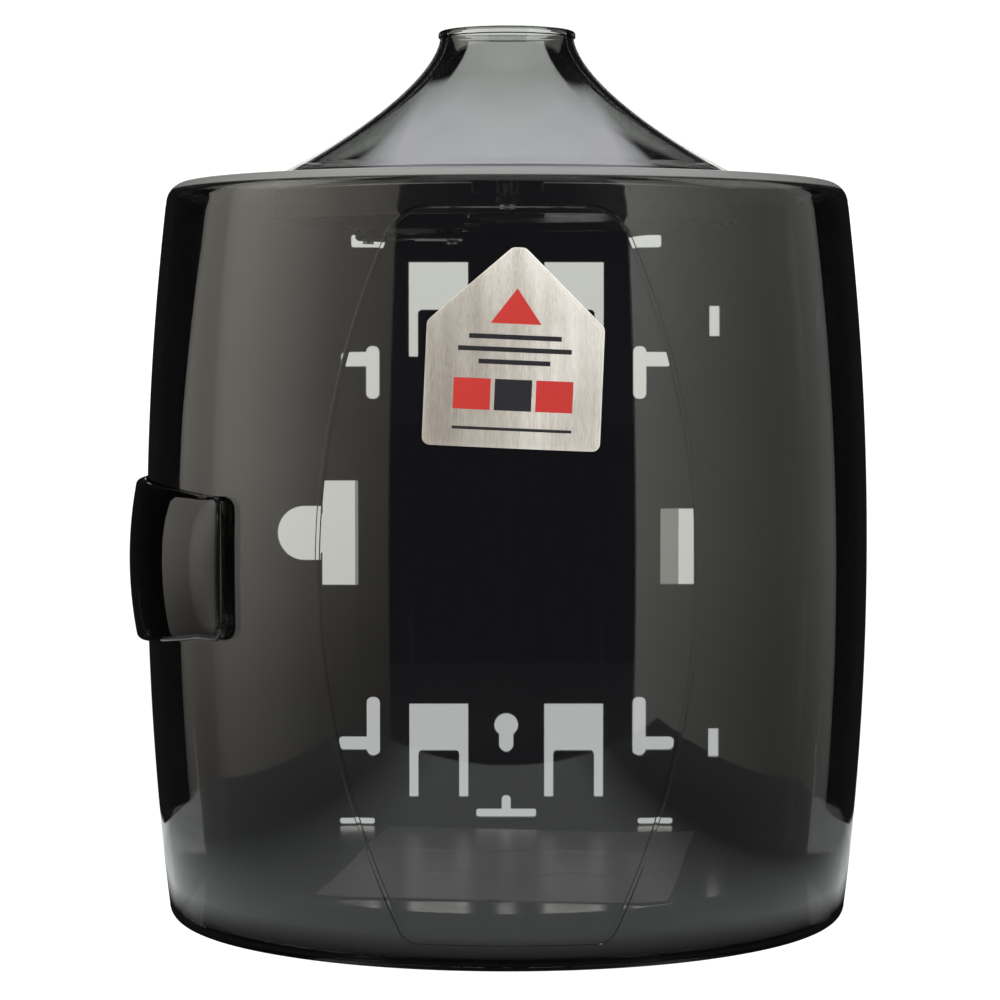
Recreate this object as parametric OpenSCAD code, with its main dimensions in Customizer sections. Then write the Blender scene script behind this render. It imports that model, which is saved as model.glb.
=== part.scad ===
// Wipes dispenser: a barrel-shaped smoked cover with a trumpet-shaped
// dispensing cone, hung on the side of an opaque rear housing.
// Frame: +Z up, -Y towards the user, origin on the cone's axis at the base.
// All sizes are in millimetres.

/* [Body] */
// Half-width of the body at its widest height
body_r = 134.5; // [130:0.5:140]
// Height of the flat top above the base
body_h = 274.4; // [260:0.2:290]
// Vertical radius of the barrel-shaped sides
bulge_r = 1100; // [900:50:2000]
// Distance from the cone's axis to the wall face
back_y = 137; // [132:1:140]
// Depth at which the smoked cover meets the rear housing
split_y = 92; // [88:1:95]
// Wall thickness of both shells
wall = 2.6; // [2.2:0.1:3]

/* [Cone] */
// Outer radius of the cone's lip
lip_r = 25; // [22:0.5:28]
// Height of the lip above the flat top
cone_h = 55.8; // [50:0.2:60]
// How far the cone flares beyond its lip at the base
flare = 64; // [62:0.5:66.5]

/* [Latch] */
// Height of the latch handle's lower edge
latch_z0 = 104.5; // [100:0.5:110]
// Height of the latch handle's upper edge
latch_z1 = 164; // [158:0.5:170]

/* [Tension adjuster] */
// Pitch radius of the adjuster's pinion
pinion_r = 6; // [5:0.5:6.5]
// Radius of the wipe hole in the grommet
wipe_hole_r = 8.5; // [6:0.5:9]

/* [Hidden] */

$fn = 96;
eps = 0.01;
mid_z = body_h / 2;
fb = 5.5;              // bottom edge radius
ft = 5;                // top edge radius
gap = 0.3;             // half the parting gap between cover and housing
hx = 133.4;            // hinge axis
hy = 98;
pin_r = 2;
tray_z0 = 10.4;
tray_z1 = 13;
plate_z0 = 262;        // dispensing plate
plate_z1 = 264.5;
post_r = 92.5;         // where the plate is screwed up into the cover
dial_x = -37;
dial_y = 12.2 + pinion_r;
latch_a = 222.5;       // azimuth of the latch pin about the body axis
latch_pr = 135.4;      // its distance from the body axis
lpx = latch_pr * cos(latch_a);
lpy = latch_pr * sin(latch_a);
tab_x = 28.4;          // centres of the snap tabs in the back

// Half-width of the barrel at height z, without its edge radii
function barrel(z) = body_r - (z - mid_z) * (z - mid_z) / (2 * bulge_r);
// The same with the rounded bottom and top edges
function halfw(z) =
    z < fb ? barrel(fb) - fb + sqrt(max(0, fb * fb - (fb - z) * (fb - z))) :
    z > body_h - ft ? barrel(body_h - ft) - ft
        + sqrt(max(0, ft * ft - (z - body_h + ft) * (z - body_h + ft))) :
    barrel(z);
heights = concat([for (i = [0:5]) fb * (1 - cos(i * 18))],
    [for (i = [1:15]) fb + (body_h - fb - ft) * i / 16],
    [for (i = [0:5]) body_h - ft + ft * sin(i * 18)]);
// Cone profile
function cone_out(h) = lip_r + flare * pow(max(0, 1 - h / 53), 1.57);
function cone_slope(h) = 1.57 * flare / 53 * pow(max(0, 1 - h / 53), 0.57);
function cone_in(h) = cone_out(h) - 2.4 * sqrt(1 + pow(cone_slope(h), 2));

// Solid between stacked rings of the same number of points
module loft(rings) {
    n = len(rings[0]);
    m = len(rings);
    polyhedron(
        points = [for (r = rings) for (p = r) p],
        faces = concat(
            [[for (i = [0:n - 1]) i]],
            [for (j = [0:m - 2]) for (i = [0:n - 1])
                [j * n + i, (j + 1) * n + i, (j + 1) * n + (i + 1) % n]],
            [for (j = [0:m - 2]) for (i = [0:n - 1])
                [j * n + i, (j + 1) * n + (i + 1) % n, j * n + (i + 1) % n]],
            [[for (i = [n - 1:-1:0]) (m - 1) * n + i]]));
}

// Rectangle at height z
function slab(w, y0, y1, z) = [[w, y0, z], [w, y1, z], [-w, y1, z], [-w, y0, z]];

// Plan of the housing at height z: open edge at y0, rounded rear corners
function plan(w, y0, y1, rc, z) = concat(
    [[w, y0, z]],
    [for (a = [0:15:90]) [w - rc + rc * cos(a), y1 - rc + rc * sin(a), z]],
    [for (a = [90:15:180]) [-w + rc + rc * cos(a), y1 - rc + rc * sin(a), z]],
    [[-w, y0, z]]);

// Section through the cover's wall, from the floor flange up and in to the axis
function wall_section() = concat(
    [[114, 0]], [for (z = heights) [halfw(z), z]],
    [[0, body_h], [0, body_h - wall], [barrel(body_h) - wall - 2.2, body_h - wall],
     [barrel(body_h - 5) - wall, body_h - 5]],
    [for (i = [len(heights) - 7:-1:6]) [barrel(heights[i]) - wall, heights[i]]],
    [[barrel(5.5) - wall, 5.5], [barrel(wall) - wall - 2.2, wall], [114, wall]]);
// The same section carried round the half-round front and back along both sides
module front_and_sides(y1) {
    rotate([0, 0, 180]) rotate_extrude(angle = 180, $fn = 144) polygon(wall_section());
    for (s = [0, 1]) mirror([s, 0, 0]) translate([0, y1, 0]) rotate([90, 0, 0])
        linear_extrude(y1) polygon(wall_section());
}

// --- openings in the back of the housing ----------------------------------

module box(x0, x1, y0, y1, z0, z1) {
    translate([x0, y0, z0]) cube([x1 - x0, y1 - y0, z1 - z0]);
}
module through(x0, x1, z0, z1) box(x0, x1, back_y - 6, back_y + 1, z0, z1);
// The same with rounded corners, on the side that s gives
module slot_cut(s, x0, x1, z0, z1, r) {
    xa = min(s * x0, s * x1);
    xb = max(s * x0, s * x1);
    through(xa + r, xb - r, z0, z1);
    through(xa, xb, z0 + r, z1 - r);
    for (x = [xa + r, xb - r]) for (z = [z0 + r, z1 - r])
        translate([x, back_y + 1, z]) rotate([90, 0, 0]) cylinder(r = r, h = 7, $fn = 32);
}

// A hanging tab: a window with a leg down each side of a springy tongue
module tab_cut(x, z) {
    difference() {
        through(x - 12.4, x + 12.4, z, z + 39.1);
        box(x - 8.6, x + 8.6, back_y - 7, back_y + 2, z - 1, z + 17.6);
        for (s = [-1, 1]) translate([x + s * 6.8, back_y + 2, z + 17.6])
            rotate([90, 0, 0]) cylinder(r = 1.8, h = 9, $fn = 32);
        box(x - 6.8, x + 6.8, back_y - 7, back_y + 2, z + 17, z + 19.4);
    }
}
module keyhole(z, up) {
    translate([0, back_y + 1, z]) rotate([90, 0, 0]) cylinder(r = 5, h = 7);
    translate([0, back_y + 1, z + up * 8.3]) rotate([90, 0, 0])
        cylinder(r = 3, h = 7);
    through(-3, 3, min(z, z + up * 8.3), max(z, z + up * 8.3));
}
module corner_cuts(s) {
    slot_cut(s, 53.2, 58.8, 42.2, 66.8, 2.4);
    slot_cut(s, 56, 70.4, 44.6, 50.2, 1.9);
    slot_cut(s, 53.2, 58.8, 191.3, 213.2, 2.4);
    slot_cut(s, 56, 69, 204.8, 210.8, 1.9);
    slot_cut(s, 52, 65, 254.2, 259.4, 1.1);
    slot_cut(s, 55.5, 70.2, 13.4, 16, 0.9);
}
module back_openings() {
    for (s = [-1, 1]) {
        tab_cut(s * tab_x, 24.9);
        tab_cut(s * tab_x, 208.9);
        corner_cuts(s);
    }
    keyhole(55, -1);
    keyhole(219, 1);
    slot_cut(1, -12.6, 12.6, 16.4, 19.9, 0.9);
    slot_cut(1, -1.9, 1.9, 18, 25.6, 1.7);
    // latch side: a half-round finger hole beside a tall slot
    translate([-85.1, back_y + 1, 135.4]) rotate([90, 0, 0])
        cylinder(r = 11.3, h = 7);
    through(-85.1, -77.9, 124.1, 146.7);
    through(-77.1, -62.2, 113.7, 157.3);
    // hinge side
    through(64.8, 78.7, 114, 145.6);
    through(85.2, 89.6, 217.4, 229.9);
    through(85.2, 89.6, 41.8, 53.8);
}

module rear_housing() {
    y0 = split_y + gap;
    rim = [for (z = heights) plan(halfw(z), y0, back_y - (barrel(z) - halfw(z)) * 0.5, 14, z)];
    zs = concat([3], [for (z = heights) if (z > 8 && z < body_h - 8) z], [body_h - 3]);
    hollow = [for (z = zs) plan(barrel(z) - wall, y0 - 1, back_y - 3, 11.4, z)];
    // levels of the lip, each with how far it stays inside the barrel
    lip_out = concat([for (z = concat([fb + 0.5], [for (z = heights) if (z > 8 && z < body_h - 8) z], [body_h - 5])) [z, wall + 0.6]],
        [[body_h - 4, wall + 1.5], [body_h - wall - 0.6, wall + 2.3]]);
    lip_in = concat([3.4], [for (z = heights) if (z > 8 && z < body_h - 8) z], [body_h - wall - 2.6]);
    color([0.07, 0.07, 0.08]) {
        difference() {
            union() {
                difference() {
                    loft(rim);
                    loft(hollow);
                }
                // lip that reaches into the cover along both sides and the top
                difference() {
                    union() {
                        loft([for (v = lip_out) slab(barrel(v[0]) - v[1], y0 - 5, y0 + 3, v[0])]);
                        loft([for (z = concat([4], [for (z = heights) if (z > 8 && z < body_h - 8) z], [body_h - wall + 0.3]))
                            slab(barrel(z) - wall + 0.5, y0 + 0.4, y0 + 3.4, z)]);
                    }
                    loft([for (z = lip_in) slab(barrel(z) - wall - 2.4, y0 - 6, y0 + 5, z)]);
                    box(110, 140, y0 - 6, y0 + 0.4, 30, 68);
                    box(110, 140, y0 - 6, y0 + 0.4, 206, 244);
                }
                // hinge knuckles
                for (z = [30, 54.4, 206, 230.4]) {
                    translate([hx, hy, z]) cylinder(r = 5, h = 11.6);
                    box(barrel(z + 6) - wall, hx, hy - 1.5, hy + 5, z, z + 11.6);
                    box(barrel(z + 6) - wall, hx, hy - 5, hy, z, z + 11.6);
                }
                // raised bosses behind the hinge side slots
                box(83.6, 91.4, back_y - 5, back_y - 2.5, 206, 236);
                box(83.6, 91.4, back_y - 5, back_y - 2.5, 36, 60);
                // screw bosses for the tray
                for (x = [-80, 0, 80]) translate([x, 114, 2]) cylinder(r = 4.6, h = tray_z0 - 2.2);
                // stiffening ribs on the back
                for (x = [-40, 40]) box(x - 0.8, x + 0.8, back_y - 5.5, back_y - 2.5, 72, 108);
            }
            back_openings();
            // room for the cover's hinge knuckles
            for (z = [41.7, 217.7]) box(120, 141, split_y - 1, hy + 6, z, z + 12.6);
            for (z = [30, 206]) translate([hx, hy, z - 1]) cylinder(r = pin_r, h = 40);
            // tray screw holes, counterbored from below
            for (x = [-80, 0, 80]) translate([x, 114, -1]) {
                cylinder(r = 3.2, h = 3);
                cylinder(r = 1.5, h = 14);
            }
            // pocket for the keeper plate and its screw holes
            box(-140, -133.9, 95, 104.1, 115.9, 152.1);
            for (z = [119.5, 148.5]) translate([-136, 101, z]) rotate([0, 90, 0]) cylinder(r = 1, h = 9);
        }
    }
}

module floor_tray() {
    w = 121.9;
    color([0.08, 0.08, 0.09]) difference() {
        union() {
            intersection() {
                translate([0, 0, tray_z0]) cylinder(r = 92, h = 4.4);
                box(-93, 93, -93, 0, 0, 20);
            }
            box(-92, 92, 0, back_y - 3.2, tray_z0, tray_z1 + 1.8);
            box(-w, w, split_y + 1, back_y - 12, tray_z0, tray_z1);
            box(-w + 9, w - 9, split_y + 1, back_y - 3.2, tray_z0, tray_z1);
            // ribs under the tray
            for (x = [-45, 45]) box(x - 1, x + 1, -60, 110, 4, tray_z0 + 1);
        }
        // shallow recess that leaves a raised edge
        translate([0, 0, tray_z1]) cylinder(r = 89.6, h = 5);
        box(-89.6, 89.6, 0, back_y + 1, tray_z1, tray_z1 + 5);
        for (x = [-80, 0, 80]) translate([x, 114, tray_z0 - 1]) cylinder(r = 1.4, h = 6);
    }
}

module tray_screws() {
    color([0.6, 0.6, 0.62]) for (x = [-80, 0, 80]) translate([x, 114, 0]) difference() {
        union() {
            translate([0, 0, 0.4]) cylinder(r = 3, h = 1.6, $fn = 48);
            translate([0, 0, 1.5]) cylinder(r = 1.4, h = 11.2, $fn = 48);
        }
        for (a = [0, 90]) rotate([0, 0, a]) box(-1.9, 1.9, -0.4, 0.4, 0, 1.2);
    }
}

module hinge_pin(z) {
    color([0.7, 0.7, 0.72]) translate([hx, hy, z]) cylinder(r = pin_r, h = 36, $fn = 64);
}
module hinge_pin_upper() hinge_pin(206);
module hinge_pin_lower() hinge_pin(30);

module latch_keeper() {
    color([0.62, 0.62, 0.64]) difference() {
        union() {
            box(-134.7, -133.9, 95, 104, 116, 152);
            box(-136.3, -134.2, 96, 98.2, 124, 144);
        }
        for (z = [119.5, 148.5]) translate([-136, 101, z]) rotate([0, 90, 0]) cylinder(r = 1, h = 9);
    }
}
module keeper_screws() {
    color([0.6, 0.6, 0.62]) for (z = [119.5, 148.5]) translate([-134.95, 101, z]) rotate([0, 90, 0]) {
        cylinder(r = 1.9, h = 0.25, $fn = 48);
        cylinder(r = 0.98, h = 5.2, $fn = 48);
    }
}

module inner_label() {
    color([0.16, 0.16, 0.17]) difference() {
        box(-63.5, 72.4, back_y - 3.25, back_y - 3, 81, 181);
        for (s = [-1, 1]) box(s * 40 - 1.1, s * 40 + 1.1, back_y - 4, back_y - 2, 70, 108.4);
    }
}

// A loose folded sheet lying on the tray
module paper_insert() {
    color([0.75, 0.75, 0.74]) translate([4, 29, tray_z1]) rotate([0, 0, -6.8])
        translate([-64, -84, 0]) cube([128, 172, 0.4]);
}

module cover_shell() {
    y1 = split_y - gap;
    posts = [30, 150, 270];
    color([0.13, 0.13, 0.14, 0.55]) difference() {
        union() {
            front_and_sides(y1);
            // hinge knuckles on arms that lie outside the side wall
            for (z = [42, 218]) {
                translate([hx, hy, z]) cylinder(r = 5, h = 12);
                box(barrel(z + 6) - 1.4, hx + 3.4, 76, hy, z, z + 12);
            }
            // posts for the dispensing plate
            for (a = posts) rotate([0, 0, a]) translate([post_r, 0, plate_z1])
                cylinder(r = 4, h = body_h - wall - plate_z1 + 1, $fn = 48);
            // wide pad round the front post
            box(-12.5, 12.5, -post_r - 3.6, -post_r + 3.4, plate_z1 + 0.9, body_h - wall + 0.7);
            // lugs for the latch pin
            for (z = [107.4, 157]) translate([lpx, lpy, z]) cylinder(r = 1.7, h = 4.2, $fn = 48);
        }
        translate([0, 0, body_h - wall - 1]) cylinder(r = 88, h = wall + 2, $fn = 144);
        for (z = [42, 218]) translate([hx, hy, z - 1]) cylinder(r = pin_r + 0.05, h = 14);
        // the arms clear the housing's side wall and its knuckles
        for (z = [42, 218]) box(120, barrel(z + 6) + 0.5, y1, hy - 4.2, z - 2, z + 14);
        for (a = posts) rotate([0, 0, a]) translate([post_r, 0, plate_z1 - 1]) cylinder(r = 1.3, h = 7, $fn = 48);
        // groove behind the latch handle's barrel, and the pin's holes
        translate([lpx, lpy, 111.5]) cylinder(r = 2.1, h = 45.6, $fn = 48);
        translate([lpx, lpy, 107]) cylinder(r = 0.9, h = 55, $fn = 48);
    }
}

module dispensing_cone() {
    hs = [for (i = [0:20]) i * 53 / 20];
    color([0.13, 0.13, 0.14, 0.5]) translate([0, 0, body_h]) rotate_extrude($fn = 144) polygon(concat(
        [[84.6, -wall], [87.9, -wall], [87.9, 0]],
        [for (h = hs) [cone_out(h), h]],
        [[lip_r + 0.6, 53.4], [lip_r + 0.6, cone_h - 0.9], [lip_r - 0.3, cone_h],
         [lip_r - 2, cone_h], [lip_r - 2.7, cone_h - 0.9]],
        [for (i = [20:-1:1]) [cone_in(hs[i]), hs[i]]],
        [[84.6, -0.6]]));
}

module dispensing_plate() {
    color([0.05, 0.05, 0.06]) difference() {
        union() {
            translate([0, 0, plate_z0]) cylinder(r = 88, h = plate_z1 - plate_z0, $fn = 144);
            for (a = [30, 150, 270]) rotate([0, 0, a]) {
                translate([post_r, 0, plate_z0]) cylinder(r = 4.4, h = plate_z1 - plate_z0, $fn = 48);
                box(80, post_r, -4.4, 4.4, plate_z0, plate_z1);
            }
            // rails that carry the shutter
            box(-62, -16, -14, -11.4, 256.4, plate_z0 + eps);
            box(-62, -16, -14, -9.4, 256.4, 258);
            for (x = [-62, -20]) {
                box(x, x + 5, 13.4, 16, 256.4, plate_z0 + eps);
                box(x, x + 5, 9.4, 16, 256.4, 258);
            }
            // collar round the top, up to the cover
            difference() {
                translate([0, 0, plate_z1 - 1]) cylinder(r = 86.4, h = body_h - wall - 0.3 - plate_z1 + 1, $fn = 144);
                translate([0, 0, plate_z1 - 2]) cylinder(r = 84.3, h = 12, $fn = 144);
            }
            // stiffening ring
            difference() {
                translate([0, 0, plate_z0 - 3]) cylinder(r = 88, h = 4, $fn = 144);
                translate([0, 0, plate_z0 - 4]) cylinder(r = 85.8, h = 6, $fn = 144);
            }
        }
        translate([0, 0, plate_z0 - 1]) cylinder(r = 12, h = 5);
        translate([dial_x, dial_y, plate_z0 - 1]) cylinder(r = 3.05, h = 5);
        for (a = [30, 150, 270]) rotate([0, 0, a]) translate([post_r, 0, plate_z0 - 1]) cylinder(r = 1.5, h = 5, $fn = 48);
        for (p = cover_legs) translate([p[0], p[1], plate_z0 - 1]) cylinder(r = 1, h = 2.6, $fn = 48);
    }
}
cover_legs = [[-53, 27], [-21, 27]];

module plate_screws() {
    color([0.6, 0.6, 0.62]) for (a = [30, 150, 270]) rotate([0, 0, a]) translate([post_r, 0, plate_z0 - 2]) difference() {
        union() {
            cylinder(r = 3, h = 2, $fn = 48);
            cylinder(r = 1.3, h = 10, $fn = 48);
        }
        for (t = [0, 90]) rotate([0, 0, t]) box(-1.9, 1.9, -0.4, 0.4, -1, 0.9);
    }
}

module wipe_grommet() {
    color([0.1, 0.1, 0.1]) rotate_extrude($fn = 96) polygon([
        [wipe_hole_r, 261.4], [wipe_hole_r + 0.6, 260.8], [14, 260.8], [14, plate_z0],
        [12, plate_z0], [12, plate_z1], [14, plate_z1], [14, 265.6],
        [wipe_hole_r + 0.9, 265.6], [wipe_hole_r, 264.7]]);
}

module dial_washer() {
    color([0.72, 0.72, 0.74]) translate([dial_x, dial_y, 260.8]) difference() {
        cylinder(r = 5.6, h = 1.2, $fn = 64);
        translate([0, 0, -1]) cylinder(r = 3.3, h = 4, $fn = 64);
    }
}

// Small plate over the dial, with a slot for the screwdriver
module adjuster_cover() {
    color([0.09, 0.09, 0.1]) difference() {
        union() {
            box(-57, -17, 4.4, 31, 253.2, 254.8);
            for (p = cover_legs) translate([p[0], p[1], 254]) cylinder(r = 2.8, h = plate_z0 - 254, $fn = 48);
        }
        translate([dial_x, dial_y, 252]) cylinder(r = 3.6, h = 5);
        box(dial_x - 1.5, dial_x + 1.5, dial_y, 40, 252, 256);
        for (p = cover_legs) translate([p[0], p[1], 252]) cylinder(r = 1, h = 12, $fn = 48);
    }
}
module adjuster_screws() {
    color([0.6, 0.6, 0.62]) for (p = cover_legs) translate([p[0], p[1], 252]) difference() {
        union() {
            cylinder(r = 2.2, h = 1.2, $fn = 48);
            cylinder(r = 1, h = 11, $fn = 48);
        }
        for (t = [0, 90]) rotate([0, 0, t]) box(-1.4, 1.4, -0.3, 0.3, -1, 0.6);
    }
}

// Outline of the badge: a square with a gabled top and soft corners
module badge_outline(d) {
    translate([2.4, 211.6]) rotate([0, 0, -2.5]) offset(r = 2.6 - d, $fn = 32)
        polygon([[-27.3, -30.4], [27.3, -30.4], [27.3, 7.4], [1.2, 31.6], [-1.2, 31.6], [-27.3, 7.4]]);
}
module badge_skin(r0, r1, d) {
    intersection() {
        rotate([0, 0, 240]) rotate_extrude(angle = 60, $fn = 144) polygon(concat(
            [for (z = [170:9:260]) [barrel(z) + r0, z]],
            [for (z = [260:-9:170]) [barrel(z) + r1, z]]));
        rotate([90, 0, 0]) translate([0, 0, 100]) linear_extrude(50) badge_outline(d);
    }
}
module badge_plate() {
    color([0.78, 0.78, 0.78]) badge_skin(0.05, 0.75, 0);
}
module badge_dome() {
    color([0.9, 0.9, 0.92, 0.4]) badge_skin(0.75, 2.1, 0.6);
}

module latch_pin() {
    color([0.7, 0.7, 0.72]) translate([lpx, lpy, 107.2]) cylinder(r = 0.9, h = 54.2, $fn = 48);
}

// Torsion spring wound round the latch pin
function coil_pt(a) = [1.35 * cos(a), 1.35 * sin(a), a / 360 * 0.75];
module latch_spring() {
    n = 72;
    m = 6;
    w = 0.27;
    color([0.75, 0.75, 0.77]) translate([lpx, lpy, 112.6]) polyhedron(
        points = [for (i = [0:n]) let (a = i * 20, c = coil_pt(a)) for (k = [0:m - 1])
            let (b = k * 360 / m)
            [c[0] + w * cos(b) * cos(a), c[1] + w * cos(b) * sin(a), c[2] + w * sin(b)]],
        faces = concat([[for (k = [0:m - 1]) k]],
            [for (i = [0:n - 1]) for (k = [0:m - 1])
                [i * m + k, (i + 1) * m + k, (i + 1) * m + (k + 1) % m]],
            [for (i = [0:n - 1]) for (k = [0:m - 1])
                [i * m + k, (i + 1) * m + (k + 1) % m, i * m + (k + 1) % m]],
            [[for (k = [m - 1:-1:0]) n * m + k]]));
}

// Latch handle: outer radius at height z
latch_zm = (latch_z0 + latch_z1) / 2;
function latch_out(z) = 141 - 2.4 * pow((z - latch_zm) / 27, 2);
// Section of the handle: outer skin with top and bottom returns
latch_zs = [for (i = [0:8]) latch_z0 + 2.2 + (latch_z1 - latch_z0 - 4.4) * i / 8];
latch_in = 135.1;      // radius of the returns' inner edges
function latch_skin() = concat(
    [[latch_in, latch_z0], [latch_out(latch_zs[0]) - 1.6, latch_z0],
     [latch_out(latch_zs[0]) - 0.4, latch_z0 + 0.8]],
    [for (z = latch_zs) [latch_out(z), z]],
    [[latch_out(latch_zs[8]) - 0.4, latch_z1 - 0.8],
     [latch_out(latch_zs[8]) - 1.6, latch_z1], [latch_in, latch_z1], [latch_in, latch_z1 - 2]],
    [for (i = [8:-1:0]) [latch_out(latch_zs[i]) - 2,
        latch_zs[i] + (i == 8 ? -0.6 : i == 0 ? 0.6 : 0)]],
    [[latch_in, latch_z0 + 2]]);
// Section of the solid ends, which fills the hollow from radius low outwards
function latch_plug(low) = concat(
    [[low, latch_z0 + 0.5]],
    [for (z = latch_zs) [latch_out(z) - 0.5, z]],
    [[low, latch_z1 - 0.5]]);
module latch_handle() {
    color([0.13, 0.13, 0.14, 0.75]) difference() {
        union() {
            // round the front, and straight back along the side
            rotate([0, 0, 180]) rotate_extrude(angle = 41.6, $fn = 144) polygon(latch_skin());
            rotate([90, 0, 180]) linear_extrude(104) polygon(latch_skin());
            // closed ends
            rotate([0, 0, 220.9]) rotate_extrude(angle = 3, $fn = 144) polygon(latch_plug(136.1));
            translate([0, 101.8, 0]) rotate([90, 0, 180]) linear_extrude(2) polygon(latch_plug(latch_in + 0.2));
            // barrel that turns on the pin
            translate([lpx, lpy, 119.4]) cylinder(r = 1.7, h = 36.2, $fn = 48);
        }
        // the pin's hole, and room for the lugs
        translate([lpx, lpy, 106.9]) cylinder(r = 0.95, h = 55, $fn = 48);
        translate([lpx, lpy, 107]) cylinder(r = 2.0, h = 12);
        translate([lpx, lpy, 156]) cylinder(r = 2.0, h = 5.6);
    }
}

// Sprung-steel hook that snaps behind the keeper
module latch_hook() {
    color([0.62, 0.62, 0.64]) difference() {
        union() {
            box(-138.3, -136.9, 70, 101, 126, 142);
            box(-138.3, -135.1, 99.4, 101, 126, 142);
        }
        for (z = [130, 138]) translate([-139, 77, z]) rotate([0, 90, 0]) cylinder(r = 1, h = 4, $fn = 48);
    }
}
module hook_rivets() {
    color([0.72, 0.72, 0.74]) for (z = [130, 138]) translate([-136.9, 77, z]) rotate([0, 90, 0]) {
        cylinder(r = 1.8, h = 0.7, $fn = 48);
        translate([0, 0, -2]) cylinder(r = 1, h = 2.2, $fn = 48);
    }
}

module pinion() {
    teeth = round(2 * pinion_r);
    root = pinion_r - 0.9;
    tip = pinion_r + 0.7;
    linear_extrude(2.3) {
        circle(r = root, $fn = 64);
        for (i = [0:teeth - 1]) rotate([0, 0, 270 + (i + 0.5) * 360 / teeth])
            polygon([[root - 0.5, -0.8], [tip, -0.34], [tip, 0.34], [root - 0.5, 0.8]]);
    }
}
module tension_dial() {
    color([0.86, 0.86, 0.84]) translate([dial_x, dial_y, 0]) difference() {
        union() {
            translate([0, 0, 258.3]) pinion();
            translate([0, 0, 255.6]) cylinder(r = 10, h = 2.4);
            translate([0, 0, 257.5]) cylinder(r = pinion_r - 0.9, h = 1.5, $fn = 64);
            translate([0, 0, 260]) cylinder(r = 3, h = 5.4);
        }
        // cross recess for the screwdriver, reached from below
        for (a = [0, 90]) rotate([0, 0, a]) box(-2.6, 2.6, -0.6, 0.6, 255, 257.6);
    }
}

// Sliding plate that narrows the wipe hole as the dial turns
module tension_shutter() {
    color([0.12, 0.12, 0.13]) difference() {
        union() {
            box(-62, -10, -11, 11, 258.3, 260.4);
            for (k = [-3:4]) translate([dial_x + k * PI * 1, 0, 258.3]) linear_extrude(2.1)
                polygon([[-0.8, 10.9], [0.8, 10.9], [0.4, 12.9], [-0.4, 12.9]]);
        }
        translate([-8, 0, 257]) cylinder(r = 8.6, h = 5);
    }
}

rear_housing();
floor_tray();
tray_screws();
hinge_pin_upper();
hinge_pin_lower();
latch_keeper();
keeper_screws();
inner_label();
paper_insert();
cover_shell();
dispensing_cone();
dispensing_plate();
plate_screws();
wipe_grommet();
dial_washer();
adjuster_cover();
adjuster_screws();
badge_plate();
badge_dome();
latch_pin();
latch_spring();
latch_handle();
latch_hook();
hook_rivets();
tension_dial();
tension_shutter();
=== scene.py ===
"""Looks of the wipes dispenser: smoked cover and cone, black housing, latch,
badge and inner pieces, with a white table and soft side lights.
Lengths in the helpers below are millimetres; meshes are made in metres."""
import math

import bmesh
import bpy
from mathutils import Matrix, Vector, noise


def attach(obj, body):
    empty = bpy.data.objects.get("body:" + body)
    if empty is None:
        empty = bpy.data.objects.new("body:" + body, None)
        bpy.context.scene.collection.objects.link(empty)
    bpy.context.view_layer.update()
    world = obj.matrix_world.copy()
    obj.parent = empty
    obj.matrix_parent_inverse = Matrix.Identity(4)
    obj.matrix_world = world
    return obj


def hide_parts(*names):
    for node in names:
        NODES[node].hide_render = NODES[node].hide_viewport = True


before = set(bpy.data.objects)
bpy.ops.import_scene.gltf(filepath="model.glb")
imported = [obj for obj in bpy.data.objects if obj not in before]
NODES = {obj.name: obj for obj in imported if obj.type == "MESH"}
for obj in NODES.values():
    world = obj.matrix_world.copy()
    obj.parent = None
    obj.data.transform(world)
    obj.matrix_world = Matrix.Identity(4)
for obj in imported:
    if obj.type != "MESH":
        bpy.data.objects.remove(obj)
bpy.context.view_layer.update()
MM = 0.001

# ---------------------------------------------------------------- dimensions
BODY_R, BODY_H, MID_Z, BULGE = 134.5, 274.4, 137.2, 1100.0
FB, FT, FT_FRONT, WALL = 5.5, 5.0, 8.0, 2.6
SPLIT_Y, GAP, BACK_Y = 92.0, 0.3, 137.0
HX, HY = 133.4, 98.0
LATCH_A = math.radians(222.5)
LPX, LPY = 135.4 * math.cos(LATCH_A), 135.4 * math.sin(LATCH_A)


def barrel(z):
    return BODY_R - (z - MID_Z) ** 2 / (2 * BULGE)


def halfw(z):
    if z < FB:
        return barrel(FB) - FB + math.sqrt(max(0.0, FB * FB - (FB - z) ** 2))
    if z > BODY_H - FT:
        return barrel(BODY_H - FT) - FT + math.sqrt(max(0.0, FT * FT - (z - BODY_H + FT) ** 2))
    return barrel(z)


# ------------------------------------------------------------------- helpers
def obj_from(name, verts, faces, scale=MM):
    me = bpy.data.meshes.new(name)
    me.from_pydata([tuple(c * scale for c in v) for v in verts], [], faces)
    me.update()
    ob = bpy.data.objects.new(name, me)
    bpy.context.scene.collection.objects.link(ob)
    return ob


def smooth(ob, angle=35.0):
    me = ob.data
    for p in me.polygons:
        p.use_smooth = True
    me.set_sharp_from_angle(angle=math.radians(angle))


def weld(ob, dist=1e-6):
    bm = bmesh.new()
    bm.from_mesh(ob.data)
    bmesh.ops.remove_doubles(bm, verts=bm.verts, dist=dist)
    bmesh.ops.dissolve_degenerate(bm, dist=1e-7, edges=bm.edges)
    bm.to_mesh(ob.data)
    bm.free()


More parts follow.
